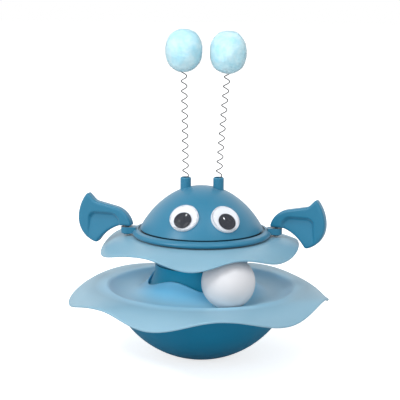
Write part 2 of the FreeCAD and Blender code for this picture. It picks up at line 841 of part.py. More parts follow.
def make_dome():
    """Upper shell of the head: crown, side, a spigot that sits in the ring, and two antenna sockets."""
    body = new_body("head_dome")
    across, up = crown_end()
    side = dome_side()
    spigot = dim.dome_radius - dim.spigot_wall
    seat = dim.pan_rim + dim.skirt_wall + dim.ring_plate
    profile = outline(body, "dome_profile", "XZ_Plane", [
        (0, seat),
        (spigot, seat),
        (spigot, dim.dome_edge),
        (dim.dome_radius, dim.dome_edge, bow(side, 1)),
        (across, up, bow(dim.dome_crown, 1)),
        (0, dim.dome_top),
    ])
    turn(body, "Revolution", profile)
    level = dim.dome_edge
    for sign, name in ((-1, "left_socket"), (1, "right_socket")):
        tube = circle_sketch(body, name, dim.socket_offset * sign, 0, dim.socket_radius, level)
        pad = raise_up(body, "Pad", tube, dim.socket_top - level)
    top = dim.socket_top.number
    lip = round_edges(body, pad, dim.socket_fillet,
                      lambda edge, middle: middle.z > top - 0.1)
    root = round_edges(body, lip, dim.socket_fillet,
                       lambda edge, middle: abs(edge.Length - 2 * math.pi * dim.socket_radius.number) < 3
                       and middle.z < top - 3 and middle.z > dim.dome_top.number - 10)
    wall = dim.dome_wall
    angle = dim.dome_crown_angle
    inner_edge = spigot - dim.spigot_wall
    ledge = dim.dome_edge + dim.spigot_wall / 4
    side_centre_out = across - side * sine(angle)
    side_centre_up = up - side * cosine(angle)
    hollow = outline(body, "dome_hollow", "XZ_Plane", [
        (0, seat),
        (inner_edge, seat),
        (inner_edge, ledge),
        (side_centre_out + leg(side - wall, ledge - side_centre_up), ledge, bow(side - wall, 1)),
        (across - wall * sine(angle), up - wall * cosine(angle), bow(dim.dome_crown - wall, 1)),
        (0, dim.dome_top - wall),
    ])
    turn(body, "Groove", hollow)
    for sign, name in ((-1, "left_bore"), (1, "right_bore")):
        hole = circle_sketch(body, name, dim.socket_offset * sign, 0, dim.socket_bore, dim.socket_top)
        raise_up(body, "Pocket", hole, dim.socket_depth)
    return body


# Stick-on eyes

def eye_placement(azimuth, height):
    """Where an eye's back lies on the dome: its own +Z points out, and its own -X down the slope."""
    radius, slope = dome_point(height.number)
    turned = math.radians(azimuth.number)
    out = Vector(math.cos(slope) * math.sin(turned), -math.cos(slope) * math.cos(turned), math.sin(slope))
    uphill = Vector(-math.sin(slope) * math.sin(turned), math.sin(slope) * math.cos(turned), math.cos(slope))
    return Placement(point(radius, height.number, azimuth.number), Rotation(uphill, out.cross(uphill), out))


def make_eye(side, azimuth, height):
    """White back that fits the dome, clear lens, and loose pupil at its lowest place."""
    spot = eye_placement(azimuth, height)
    back = Part.makeCylinder(dim.eye_radius.number, dim.eye_back.number + dim.eye_pad.number,
                             Vector(0, 0, -dim.eye_pad.number))
    back.Placement = spot
    filled = Part.Face(Part.Wire(doc.getObject("dome_profile").Shape.Edges))
    filled = filled.revolve(Vector(), Vector(0, 0, 1), 360)
    feature_of(f"{side}_eye_back", back.cut(filled))

    lens = new_body(f"{side}_eye_lens")
    inner = dim.lens_radius - dim.lens_wall
    cap = dim.lens_height - dim.lens_side
    inner_cap = cap - dim.lens_wall * 0.6
    profile = outline(lens, f"{side}_lens_profile", "XZ_Plane", [
        (inner, 0),
        (dim.lens_radius, 0),
        (dim.lens_radius, dim.lens_side, bow((dim.lens_radius * dim.lens_radius + cap * cap) / (2 * cap), 1)),
        (0, dim.lens_height),
        (0, dim.lens_side + inner_cap, bow((inner * inner + inner_cap * inner_cap) / (2 * inner_cap), -1)),
        (inner, dim.lens_side),
    ])
    turn(lens, "Revolution", profile)
    lens.Placement = spot.multiply(Placement(Vector(0, 0, dim.eye_back.number), Rotation()))

    pupil = new_body(f"{side}_pupil")
    disc = circle_sketch(pupil, f"{side}_pupil_disc", -dim.pupil_offset, 0, dim.pupil_radius, dim.pupil_play)
    raise_up(pupil, "Pad", disc, dim.pupil_thickness)
    pupil.Placement = lens.Placement


# Claws

def claw_outline(sign):
    """Corners of a claw, from the inner end of its flat end, round the top to the point and back."""
    root_in, root_out = dim.claw_root_in, dim.claw_root_out
    shoulder_out, shoulder_up = dim.claw_shoulder_out, dim.claw_shoulder_up
    dip_out, dip_up = dim.claw_dip_out, dim.claw_dip_up
    tip_out, tip_up = dim.claw_tip_out, dim.claw_tip_up
    reach, belly = dim.claw_reach, dim.claw_belly_up
    point_out, point_down = dim.claw_point_out, dim.claw_point_down
    # The shoulder's arc ends along the straight run to the dip
    run, rise = dip_out - shoulder_out, dip_up - shoulder_up
    span = shoulder_out + root_in
    shoulder = (span * span + shoulder_up * shoulder_up) * leg_sum(run, rise) / (2 * (shoulder_up * run - span * rise))
    # The two arcs of the back meet upright at the widest place
    back = rolling_radius(reach - tip_out, tip_up - belly)
    heel = rolling_radius(reach - point_out, point_down + belly)
    turn_way = -sign
    return [
        (-root_in * sign, 0, bow(shoulder, turn_way)),
        (shoulder_out * sign, shoulder_up),
        (dip_out * sign, dip_up),
        (tip_out * sign, tip_up, bow(back, turn_way)),
        (reach * sign, belly, bow(heel, turn_way)),
        (point_out * sign, -point_down, bow(dim.claw_hook_radius, -turn_way)),
        (root_out * sign, 0),
    ]


def rolling_radius(across, along):
    """Radius of an arc that starts square to its offset and reaches a point across and along from there."""
    return (across * across + along * along) / (2 * across)


def leg_sum(across, along):
    """Hypotenuse of a right triangle."""
    return root(across * across + along * along)


def recess_outline(sign):
    """Corners of the hollow inside the raised rim; it runs out past the claw's inner curve."""
    inner, outer = dim.recess_start, dim.recess_end
    top, corner = dim.recess_top, dim.recess_corner
    return [
        (inner * sign, -corner),
        (inner * sign, top),
        (outer * sign, top),
        (outer * sign, -dim.recess_foot),
        ((outer - corner) * sign, -dim.recess_foot - corner * 1.3),
        ((outer - corner * 2) * sign, -dim.claw_point_down * 1.5),
        (inner * sign, -dim.claw_point_down * 1.5),
    ]


def make_claw(side, sign):
    """Flat hook-shaped claw with a raised rim on both faces, and the pin that it turns on."""
    body = new_body(f"{side}_claw")
    profile = outline(body, f"{side}_claw_outline", "XZ_Plane", claw_outline(sign))
    pad = raise_up(body, "Pad", profile, dim.claw_thickness, both=True)
    corners = (("dip", dim.claw_dip_out, dim.claw_dip_up, dim.claw_dip_round),
               ("tip", dim.claw_tip_out, dim.claw_tip_up, dim.claw_tip_round),
               ("point", dim.claw_point_out, -dim.claw_point_down, dim.claw_point_round))
    shape = pad
    for name, out, up, radius in corners:
        spot = Vector(sign * out.number, 0, up.number)
        shape = round_edges(body, shape, radius, lambda edge, middle: (middle - spot).Length < 0.1)
    half = dim.claw_thickness.number / 2
    rounded = round_edges(body, shape, dim.claw_rounding,
                          lambda edge, middle: abs(abs(middle.y) - half) < 0.01 and abs(middle.z) > 0.01)
    for face, reverse in (("front", False), ("back", True)):
        offset = dim.claw_thickness / 2 if reverse else -dim.claw_thickness / 2
        hollow = new_sketch(body, f"{side}_claw_{face}_hollow", "XZ_Plane", offset * -1)
        draw(hollow, recess_outline(sign))
        raise_up(body, "Pocket", hollow, dim.recess_depth, reverse=reverse)
    hole = circle_sketch(body, f"{side}_claw_bore", 0, 0, dim.pin_radius, as_size(0))
    raise_up(body, "Pocket", hole, dim.pin_length, reverse=True)
    body.setExpression("Placement.Base.x", (dim.lug_circle * sign).text)
    body.setExpression("Placement.Base.z", (dim.lug_top + dim.claw_gap).text)
    body.setExpression("Placement.Rotation.Angle", dim.claw_swing.text)

    pin = new_body(f"{side}_claw_pin")
    bottom = dim.lug_bottom - dim.pin_head - dim.pin_running_gap
    shank = dim.lug_bottom - dim.pin_running_gap
    top = dim.lug_top + dim.claw_gap + dim.pin_length
    profile = outline(pin, f"{side}_pin_profile", "XZ_Plane", [
        (0, bottom),
        (dim.pin_head_radius, bottom),
        (dim.pin_head_radius, shank),
        (dim.pin_radius, shank),
        (dim.pin_radius, top),
        (0, top),
    ])
    turn(pin, "Revolution", profile)
    pin.setExpression("Placement.Base.x", (dim.lug_circle * sign).text)


# Antennas

def biarc(start, start_way, end, end_way):
    """Two tangent arcs between points with given directions, as three-point arcs."""
    step = end - start
    ways = start_way + end_way
    flat = 2 * (1 - start_way.dot(end_way))
    along = step.dot(ways)
    reach = (-along + math.sqrt(along * along + flat * step.dot(step))) / flat
    knee = (start + end + (start_way - end_way) * reach) / 2
    arcs = []
    for first, way, last, forward in ((start, start_way, knee, 1), (end, end_way, knee, -1)):
        chord = last - first
        normal = way * forward
        aside = (chord - normal * chord.dot(normal)).normalize()
        radius = chord.dot(chord) / (2 * chord.dot(aside))
        centre = first + aside * radius
        middle = centre + ((first + last) / 2 - centre).normalize() * radius
        arcs.append((first, middle, last) if forward > 0 else (last, middle, first))
    return arcs, radius


def spring_path(foot_x, tip_x, foot, top):
    """The wire's line: straight ends, and a helix about a line that leans from foot to top."""
    turns = round((top - foot) / dim.coil_pitch.number)
    run = dim.wire_radius.number * 2
    radius = dim.coil_radius.number

    def helix(share):
        angle = 2 * math.pi * turns * share
        lean = (tip_x - foot_x) * share ** 1.3
        height = foot + run + (top - foot - 2 * run) * share
        return Vector(foot_x + lean + radius * math.cos(angle), radius * math.sin(angle), height)

    steps = 4 * turns
    spots = [helix(k / steps) for k in range(steps + 1)]
    ways = []
    for k in range(steps + 1):
        near, far = max(k / steps - 1e-4, 0), min(k / steps + 1e-4, 1)
        ways.append((helix(far) - helix(near)).normalize())
    ways[0] = ways[-1] = Vector(0, 0, 1)
    edges = [Part.LineSegment(spots[0] - ways[0] * run, spots[0]).toShape()]
    for k in range(steps):
        arcs, _ = biarc(spots[k], ways[k], spots[k + 1], ways[k + 1])
        edges += [Part.Arc(*arc).toShape() for arc in arcs]
    edges.append(Part.LineSegment(spots[-1], spots[-1] + ways[-1] * run).toShape())
    return Part.Wire(edges)


def least_gap(path, wire_radius):
    """Smallest distance between turns of a wire, measured on points more than one turn apart."""
    spacing = wire_radius
    points = path.discretize(Distance=spacing)
    skip = int(2 * math.pi * dim.coil_radius.number * 0.6 / spacing)
    nearest = min((a - b).Length for i, a in enumerate(points[::3]) for b in points[3 * i + skip::3])
    return nearest - 2 * wire_radius


def make_spring(name, foot_x, tip_x, foot, top):
    """One unbroken coil of wire from the bottom of a socket to the bore of its pompom."""
    wire_radius = dim.wire_radius.number
    path = spring_path(foot_x, tip_x, foot, top)
    ring = Part.Circle(path.Edges[0].valueAt(path.Edges[0].FirstParameter), Vector(0, 0, 1), wire_radius)
    coil = path.makePipeShell([Part.Wire([ring.toShape()])], True, False)
    print(f"{name}: {path.Length:.1f} mm of wire, least gap to itself {least_gap(path, wire_radius):.2f} mm,",
          f"volume {coil.Volume:.2f}, section times length {math.pi * wire_radius ** 2 * path.Length:.2f}")
    return feature_of(name, coil)


def make_antenna(side, sign, out, height):
    """Spring and pompom of one antenna."""
    pompom = new_body(f"{side}_pompom")
    half, wide, end = dim.pompom_half_height, dim.pompom_radius, dim.pompom_end_radius
    # The side arc touches each end arc and is upright at the widest place
    drop = half - end
    side_arc = (wide * wide - end * end + drop * drop) / (2 * (wide - end))
    centre = wide - side_arc
    share = end / (side_arc - end)
    touch_x = (as_size(0) - centre) * share
    touch_z = drop + drop * share
    bore = dim.pompom_bore
    bore_edge = drop + leg(end, bore)
    profile = outline(pompom, f"{side}_pompom_profile", "XZ_Plane", [
        (0, -(half - dim.pompom_bore_depth)),
        (bore, -(half - dim.pompom_bore_depth)),
        (bore, -bore_edge, bow(end, 1)),
        (touch_x, -touch_z, bow(side_arc, 1)),
        (wide, 0, bow(side_arc, 1)),
        (touch_x, touch_z, bow(end, 1)),
        (0, half),
    ])
    turn(pompom, "Revolution", profile)
    pompom.setExpression("Placement.Base.x", (out * sign).text)
    pompom.setExpression("Placement.Base.z", height.text)

    foot = (dim.socket_top - dim.socket_depth).number
    top = (height - half + dim.pompom_bore_depth - dim.track_gap).number
    make_spring(f"{side}_spring", sign * dim.socket_offset.number, sign * out.number, foot, top)


# Build everything

os.makedirs("parts", exist_ok=True)
doc = FreeCAD.newDocument("tumbler_cat_toy")
dim = make_sheet(doc)

make_bowl()
make_weight()
make_screws("weight_screws", dim.boss_circle, dim.weight_top, True, dim.screw_places, dim.weight_screw_head_radius)
make_tray()
make_ball()
make_neck()
make_screws("neck_screws", dim.post_circle, dim.neck_floor + dim.neck_wall, False, dim.screw_places)
make_pan()
make_screws("pan_screws", dim.post_circle, dim.neck_top + dim.pan_wall, True, dim.screw_places)
make_skirt()
make_ring()
ring_screws = make_screws("ring_screws", dim.pan_boss_circle, dim.pan_rim + dim.skirt_wall + dim.ring_plate,
                          False, dim.ring_screw_places)
ring_screws.Placement = Placement(Vector(), Rotation(Vector(0, 0, 1), 45))
make_dome()
doc.recompute()
make_eye("left", dim.left_eye_azimuth, dim.left_eye_height)
make_eye("right", dim.right_eye_azimuth, dim.right_eye_height)
make_claw("left", -1)
make_claw("right", 1)
make_antenna("left", -1, dim.left_pompom_out, dim.left_pompom_height)
make_antenna("right", 1, dim.right_pompom_out, dim.right_pompom_height)
doc.recompute()

# Check every object, then write each sub-part

failed = [o.Name for o in doc.Objects if "Invalid" in o.State or "Error" in o.State]
if failed:
    raise RuntimeError("failed objects: " + ", ".join(failed))
sub_parts = [o for o in doc.Objects
             if o.TypeId == "PartDesign::Body" or (o.TypeId == "Part::Feature" and not o.InList)]
for sub_part in sub_parts:
    shape = sub_part.Shape
    if shape.isNull() or not shape.isValid() or shape.Volume <= 0:
        raise RuntimeError("bad shape: " + sub_part.Label)
    shape.exportStep(f"parts/{sub_part.Label}.step")
    box = shape.BoundBox
    print(f"{sub_part.Label}: {len(shape.Solids)} solid(s), {shape.Volume:.1f} mm3,",
          f"z {box.ZMin:.2f} to {box.ZMax:.2f}")
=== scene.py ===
import json
import math
import random

import bmesh
import bpy
from mathutils import Matrix, Vector, geometry, noise


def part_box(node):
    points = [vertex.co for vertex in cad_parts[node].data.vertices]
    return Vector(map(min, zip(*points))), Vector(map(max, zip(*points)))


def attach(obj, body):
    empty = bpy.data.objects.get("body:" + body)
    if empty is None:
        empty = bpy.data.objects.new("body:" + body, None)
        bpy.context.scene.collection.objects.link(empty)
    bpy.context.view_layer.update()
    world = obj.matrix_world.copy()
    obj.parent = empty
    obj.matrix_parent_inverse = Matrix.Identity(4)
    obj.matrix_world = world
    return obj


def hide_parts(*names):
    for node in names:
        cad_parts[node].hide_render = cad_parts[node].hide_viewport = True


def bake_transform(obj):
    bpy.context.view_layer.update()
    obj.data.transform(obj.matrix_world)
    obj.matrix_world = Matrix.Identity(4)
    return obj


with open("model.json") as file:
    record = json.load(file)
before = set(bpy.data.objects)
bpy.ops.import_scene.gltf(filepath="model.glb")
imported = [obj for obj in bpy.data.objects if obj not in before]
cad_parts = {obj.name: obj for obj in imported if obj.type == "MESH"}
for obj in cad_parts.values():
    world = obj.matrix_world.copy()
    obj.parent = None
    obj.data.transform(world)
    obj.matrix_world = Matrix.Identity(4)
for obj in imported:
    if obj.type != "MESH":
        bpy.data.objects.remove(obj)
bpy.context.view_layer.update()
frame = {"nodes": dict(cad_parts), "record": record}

MM = 0.001

# Springs in millimetres and degrees, with the turns that the photograph shows
WIRE_RADIUS = 0.4
COIL_RADIUS = 2.15
STEPS_PER_TURN = 28
LEAN_POWER = 1.3
LOWER_BEND = (142, 178)
UPPER_BEND = (183, 217)
SPRINGS = {
    "left": {"foot_x": -12.5, "tip_x": -14.8, "turns": 12.0, "start": -43.0},
    "right": {"foot_x": 12.5, "tip_x": 18.6, "turns": 12.5, "start": -70.0},
}


# Node helpers

def new_material(name):
    """A material with a Principled shader, and its node tree's parts."""
    material = bpy.data.materials.new(name)
    material.use_nodes = True
    tree = material.node_tree
    return material, tree.nodes, tree.links, tree.nodes["Principled BSDF"]


def noise_node(nodes, links, scale, detail=2.0, roughness=0.5):
    """Noise over the object's own coordinates, in metres."""
    place = nodes.new("ShaderNodeTexCoord")
    texture = nodes.new("ShaderNodeTexNoise")
    texture.inputs["Scale"].default_value = scale
    texture.inputs["Detail"].default_value = detail
    texture.inputs["Roughness"].default_value = roughness
    links.new(place.outputs["Object"], texture.inputs["Vector"])
    return texture


def ramp(nodes, links, value, stops):
    """A colour ramp from (position, colour) stops."""
    node = nodes.new("ShaderNodeValToRGB")
    elements = node.color_ramp.elements
    while len(elements) < len(stops):
        elements.new(0.5)
    for element, (position, colour) in zip(elements, stops):
        element.position = position
        element.color = (*colour, 1)
    links.new(value, node.inputs["Fac"])
    return node


def grey(value):
    """A neutral colour."""
    return (value, value, value)


def shade(colour, factor):
    """A colour made lighter or darker."""
    return tuple(min(1, c * factor) for c in colour)


def bump(nodes, links, height, strength, distance):
    """A bump node from a height output."""
    node = nodes.new("ShaderNodeBump")
    node.inputs["Strength"].default_value = strength
    node.inputs["Distance"].default_value = distance
    links.new(height, node.inputs["Height"])
    return node


def multiply(nodes, links, first, second):
    """The product of two colour outputs."""
    mix = nodes.new("ShaderNodeMix")
    mix.data_type = "RGBA"
    mix.blend_type = "MULTIPLY"
    mix.inputs["Factor"].default_value = 1.0
    links.new(first, mix.inputs["A"])
    links.new(second, mix.inputs["B"])
    return mix.outputs["Result"]


# Materials: noise scales are per metre, reaches and heights of relief are in metres

MOTTLE_SCALE = 28
SMEAR_SCALE = 60
EGGSHELL_SCALE = 2600
EGGSHELL_HEIGHT = 0.0002
SCRATCH_SCALE = 900
CASTING_SCALE = 700
CASTING_HEIGHT = 0.0006
TUFT_SCALE = 130
NAP_SCALE = 1500
NAP_HEIGHT = 0.0006
SCATTER_DEPTH = 0.003
# Painted shade in narrow gaps: how far apart the walls may stand, and how many samples look for them
GAP_SHADE_REACH = 0.004
GAP_SHADE_SAMPLES = 8
TRAY_REACH = 0.1

DARK_BLUE = (0.004, 0.162, 0.285)
# Painted light: lighter copies of the dark blue for the bowl and the neck, where shade falls
BOWL_PAINTED_LIGHT_BLUE = (0.004, 0.172, 0.310)
NECK_PAINTED_LIGHT_BLUE = (0.004, 0.270, 0.440)
LIGHT_BLUE = (0.205, 0.385, 0.495)
TRAY_BLUE = (0.235, 0.415, 0.525)
# Painted light: lighter blues on the tray's collar and track, making up for the shade that falls there
COLLAR_PAINTED_LIGHT_BLUE = (0.200, 0.590, 0.860)
TRACK_PAINTED_LIGHT_BLUE = (0.370, 0.680, 0.860)
BALL_WHITE = (0.66, 0.665, 0.69)
EYE_WHITE = (0.80, 0.82, 0.86)
PUPIL_BLACK = (0.014, 0.016, 0.026)
WIRE_GREY = (0.09, 0.09, 0.095)
SCREW_GREY = (0.55, 0.55, 0.57)
PALE_YARN = (0.64, 0.91, 0.99)
DEEP_YARN = (0.46, 0.84, 0.97)

# The tray's colours by distance from the axis, as a share of TRAY_REACH: painted light, lighter blues on
# the collar and in the track where shade falls, then the tray's own blue
TRAY_PAINTED_LIGHT_BANDS = [(0.42, COLLAR_PAINTED_LIGHT_BLUE), (0.52, TRACK_PAINTED_LIGHT_BLUE), (0.70, TRACK_PAINTED_LIGHT_BLUE), (0.82, TRAY_BLUE)]


def paint_gap_shade(nodes, links, colour):
    """A colour with painted shade: it darkens in narrow gaps, where walls stand within a few millimetres.
    """
    closeness = nodes.new("ShaderNodeAmbientOcclusion")
    closeness.samples = GAP_SHADE_SAMPLES
    closeness.inputs["Distance"].default_value = GAP_SHADE_REACH
    gap_shade_tone = ramp(nodes, links, closeness.outputs["AO"], [(0.15, grey(0.05)), (0.6, grey(1.0))])
    return multiply(nodes, links, colour, gap_shade_tone.outputs["Color"])


def plastic(name, colour, roughness, grain=0.05, specular=0.4, haze=0.0, glow_through=0.0,
            painted_gap_shade=False):
    """Moulded plastic: faint mottle, fine grain, uneven gloss and satin haze, with painted shade in narrow
    gaps if asked.
    """
    material, nodes, links, shader = new_material(name)
    shader.inputs["Specular IOR Level"].default_value = specular
    shader.inputs["Subsurface Weight"].default_value = glow_through
    shader.inputs["Subsurface Radius"].default_value = (1, 1, 1)
    shader.inputs["Subsurface Scale"].default_value = SCATTER_DEPTH
    shader.inputs["Sheen Weight"].default_value = haze
    shader.inputs["Sheen Roughness"].default_value = 0.5
    mottle = noise_node(nodes, links, MOTTLE_SCALE, 3)
    tint = ramp(nodes, links, mottle.outputs["Fac"], [
        (0.3, shade(colour, 0.97)), (0.7, shade(colour, 1.03))])
    seen = tint.outputs["Color"]
    # Painted shade: the colour darkens in narrow gaps
    if painted_gap_shade:
        seen = paint_gap_shade(nodes, links, seen)
    links.new(seen, shader.inputs["Base Color"])
    smear = noise_node(nodes, links, SMEAR_SCALE, 4, 0.6)
    gloss = ramp(nodes, links, smear.outputs["Fac"], [
        (0.3, grey(roughness - 0.03)), (0.7, grey(roughness + 0.03))])
    links.new(gloss.outputs["Color"], shader.inputs["Roughness"])
    fine = noise_node(nodes, links, EGGSHELL_SCALE, 2)
    relief = bump(nodes, links, fine.outputs["Fac"], grain, EGGSHELL_HEIGHT)
    links.new(relief.outputs["Normal"], shader.inputs["Normal"])
    return material


def tray_plastic_painted_light(name, roughness):
    """The tray's plastic, with painted light: a brighter blue on the collar round the neck and in the
    track, where shade falls.
    """
    material = plastic(name, TRAY_BLUE, roughness, glow_through=0.35)
    nodes, links = material.node_tree.nodes, material.node_tree.links
    shader = nodes["Principled BSDF"]
    place = nodes.new("ShaderNodeTexCoord")
    across = nodes.new("ShaderNodeVectorMath")
    across.operation = "MULTIPLY"
    across.inputs[1].default_value = (1 / TRAY_REACH, 1 / TRAY_REACH, 0)
    links.new(place.outputs["Object"], across.inputs[0])
    radius = nodes.new("ShaderNodeVectorMath")
    radius.operation = "LENGTH"
    links.new(across.outputs["Vector"], radius.inputs[0])
    painted_light_bands = ramp(nodes, links, radius.outputs["Value"], TRAY_PAINTED_LIGHT_BANDS)
    mottle = noise_node(nodes, links, MOTTLE_SCALE, 3)
    tone = ramp(nodes, links, mottle.outputs["Fac"], [(0.3, grey(0.97)), (0.7, grey(1.0))])
    seen = multiply(nodes, links, painted_light_bands.outputs["Color"], tone.outputs["Color"])
    links.new(seen, shader.inputs["Base Color"])
    return material


def steel(name, colour, roughness):
    """Drawn or plated steel with fine scratches."""
    material, nodes, links, shader = new_material(name)
    shader.inputs["Metallic"].default_value = 1.0
    wear = noise_node(nodes, links, SCRATCH_SCALE, 3)
    tint = ramp(nodes, links, wear.outputs["Fac"], [
        (0.35, shade(colour, 0.85)), (0.65, shade(colour, 1.1))])
    links.new(tint.outputs["Color"], shader.inputs["Base Color"])
    gloss = ramp(nodes, links, wear.outputs["Fac"], [
        (0.3, grey(roughness - 0.06)), (0.7, grey(roughness + 0.08))])
    links.new(gloss.outputs["Color"], shader.inputs["Roughness"])
    return material


def cast_iron(name):
    """Rough grey casting."""
    material, nodes, links, shader = new_material(name)
    grain = noise_node(nodes, links, CASTING_SCALE, 5, 0.65)
    tint = ramp(nodes, links, grain.outputs["Fac"], [(0.3, grey(0.07)), (0.7, grey(0.16))])
    links.new(tint.outputs["Color"], shader.inputs["Base Color"])
    relief = bump(nodes, links, grain.outputs["Fac"], 0.6, CASTING_HEIGHT)
    links.new(relief.outputs["Normal"], shader.inputs["Normal"])
    shader.inputs["Metallic"].default_value = 0.7
    shader.inputs["Roughness"].default_value = 0.72
    return material


def clear_lens(name):
    """Thin clear plastic: see-through, with a gloss that grows towards grazing angles."""
    material, nodes, links, shader = new_material(name)
    nodes.remove(shader)
    through = nodes.new("ShaderNodeBsdfTransparent")
    through.inputs["Color"].default_value = (0.985, 0.988, 0.995, 1)
    gloss = nodes.new("ShaderNodeBsdfGlossy")
    gloss.inputs["Roughness"].default_value = 0.015
    facing = nodes.new("ShaderNodeLayerWeight")
    facing.inputs["Blend"].default_value = 0.5
    amount = ramp(nodes, links, facing.outputs["Facing"], [
        (0.0, grey(0.018)), (0.6, grey(0.03)), (1.0, grey(0.35))])
    mix = nodes.new("ShaderNodeMixShader")
    links.new(amount.outputs["Color"], mix.inputs["Fac"])
    links.new(through.outputs["BSDF"], mix.inputs[1])
    links.new(gloss.outputs["BSDF"], mix.inputs[2])
    links.new(mix.outputs["Shader"], nodes["Material Output"].inputs["Surface"])
    return material


def yarn(name, pale, deep):
    """Soft brushed yarn: pale and deeper tufts, a fine nap and a velvety sheen."""
    material, nodes, links, shader = new_material(name)
    tufts = noise_node(nodes, links, TUFT_SCALE, 3, 0.6)
    tint = ramp(nodes, links, tufts.outputs["Fac"], [(0.36, deep), (0.62, pale)])
    links.new(tint.outputs["Color"], shader.inputs["Base Color"])
    nap = noise_node(nodes, links, NAP_SCALE, 3, 0.7)
    relief = bump(nodes, links, nap.outputs["Fac"], 0.35, NAP_HEIGHT)
    links.new(relief.outputs["Normal"], shader.inputs["Normal"])
    shader.inputs["Roughness"].default_value = 1.0
    shader.inputs["Specular IOR Level"].default_value = 0.1
    shader.inputs["Sheen Weight"].default_value = 0.5
    shader.inputs["Sheen Roughness"].default_value = 0.6
    shader.inputs["Sheen Tint"].default_value = (0.90, 0.97, 1.0, 1)
    return material


MATERIALS = {
    # The dark blue plastic has painted shade in its narrow gaps
    "dark_blue_plastic": plastic("dark_blue_plastic", DARK_BLUE, 0.40, specular=0.5, haze=0.2, painted_gap_shade=True),
    # The bowl and the neck: lighter copies of the dark blue, painted light
    "bowl_plastic_painted_light": plastic("bowl_plastic_painted_light", BOWL_PAINTED_LIGHT_BLUE, 0.45, specular=0.2),
    "neck_plastic_painted_light": plastic("neck_plastic_painted_light", NECK_PAINTED_LIGHT_BLUE, 0.45, specular=0.2),
    "light_blue_plastic": plastic("light_blue_plastic", LIGHT_BLUE, 0.40, glow_through=0.35),
    # The tray's plastic has painted light: lighter blues on its collar and track
    "tray_plastic_painted_light": tray_plastic_painted_light("tray_plastic_painted_light", 0.40),
    "white_plastic": plastic("white_plastic", BALL_WHITE, 0.38),
    "eye_white": plastic("eye_white", EYE_WHITE, 0.30, grain=0.01),
    "clear_lens": clear_lens("clear_lens"),
    "black_pupil": plastic("black_pupil", PUPIL_BLACK, 0.3, grain=0.01, specular=0.1),
    "spring_wire": steel("spring_wire", WIRE_GREY, 0.35),
    "blue_yarn": yarn("blue_yarn", PALE_YARN, DEEP_YARN),
    "iron": cast_iron("iron"),
    "screw_steel": steel("screw_steel", SCREW_GREY, 0.30),
}


# Mesh helpers

def new_piece(name, points, faces, material, body=None, replaced=()):
    """A smooth mesh piece in millimetres that rides on a body and stands for CAD nodes."""
    mesh = bpy.data.meshes.new(name)
    mesh.from_pydata([Vector(p) * MM for p in points], [], faces)
    mesh.validate()
    for polygon in mesh.polygons:
        polygon.use_smooth = True
    mesh.materials.append(MATERIALS[material])
    piece = bpy.data.objects.new(name, mesh)
    bpy.context.scene.collection.objects.link(piece)
    if body:
        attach(piece, body)
    if replaced:
        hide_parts(*replaced)
    return piece


def smooth_by_weight(piece, angle=40):
    """Smooth shading that keeps flats flat and sharp edges sharp."""
    for polygon in piece.data.polygons:
        polygon.use_smooth = True
    piece.data.set_sharp_from_angle(angle=math.radians(angle))
    modifier = piece.modifiers.new("weighted", "WEIGHTED_NORMAL")
    modifier.keep_sharp = True


# Tray and skirt: closed sections that ride on waves, swept round the axis, in millimetres and degrees

TRACK_CENTRE = (57.7, 71.3)
TRACK_RADIUS = 20.3
TRAY_WALL = 2.0
BEND_ANGLE = 36.65
BEND_RADIUS = 4.0
BRIM_WIDTH = 25.2
BRIM_DROP = 6.6
BRIM_LEAN = 1.6
COLLAR_DROP = 10.0
COLLAR_WAVE = 3.4
COLLAR_WAVES = 4
COLLAR_PHASE = 32.0
BOWL_RADIUS = 72.6
BOWL_WALL = 2.4
FOOT_RADIUS = 11.0
BOWL_RIM = 51.2
RIB_DEPTH = 5.2
RIB_WIDTH = 2.2
RIB_CLEARANCE = 0.35
SKIRT_FLOOR = 93.2
SKIRT_HOLE = 44.3
SKIRT_START = 52.0
SKIRT_WALL = 1.8
SKIRT_WIDTH = 22.6
SKIRT_DROP = 6.8
SKIRT_LEAN = 1.1
STATIONS = 240
ARC_STEPS = 12
EDGE_STEPS = 8
LIP_STEPS = 6

# High and low places of the two wavy edges: azimuth from the front, and height above the edge's mean
BRIM_TURNS = [(8, 4.2), (41, -4.2), (70, 3.9), (100, -5.4), (152, 4.0),
              (184, -3.0), (214, 3.4), (272, -5.6), (313, 4.4), (338, -4.4)]
SKIRT_TURNS = [(22, 3.8), (53, -2.5), (95, 2.8), (130, -2.5), (165, 3.0),
               (200, -3.0), (232, 3.0), (275, -5.2), (325, 3.8), (354, -3.2)]


def wavy(turns, azimuth):
    """Height of a wavy edge at an azimuth: half a cosine wave between each two of its turning places."""
    for i, (start, height) in enumerate(turns):
        end, following = turns[(i + 1) % len(turns)]
        share = (azimuth - start) % 360 / ((end - start) % 360)
        if share < 1:
            return (height + following + (height - following) * math.cos(math.pi * share)) / 2


def leaning(radius, lean, azimuth):
    """Reach of an edge that stands out furthest on the left."""
    return radius - lean * math.sin(math.radians(azimuth))


def arc(centre, radius, start, end, steps=ARC_STEPS):
    """Section points along an arc; the angles are in radians from straight down, outwards."""
    angles = [start + (end - start) * k / steps for k in range(steps + 1)]
    return [(centre[0] + radius * math.sin(a), centre[1] - radius * math.cos(a)) for a in angles]


def brim(start, edge, wall):
    """Section of a drooping brim, from the top of its level start, round its edge and back below."""
    length = edge[0] - start[0]
    drop = start[1] - edge[1]
    radius = (length * length + drop * drop) / (2 * drop)
    centre = (start[0], start[1] - radius)
    sweep = math.asin(length / radius)
    ridge = radius + wall / 2
    over = arc(centre, radius + wall, math.pi, math.pi - sweep)
    middle = (centre[0] + ridge * math.sin(sweep), centre[1] + ridge * math.cos(sweep))
    cap = arc(middle, wall / 2, math.pi - sweep, -sweep, EDGE_STEPS)
    under = arc(centre, radius, math.pi - sweep, math.pi)
    return over + cap[1:-1] + under


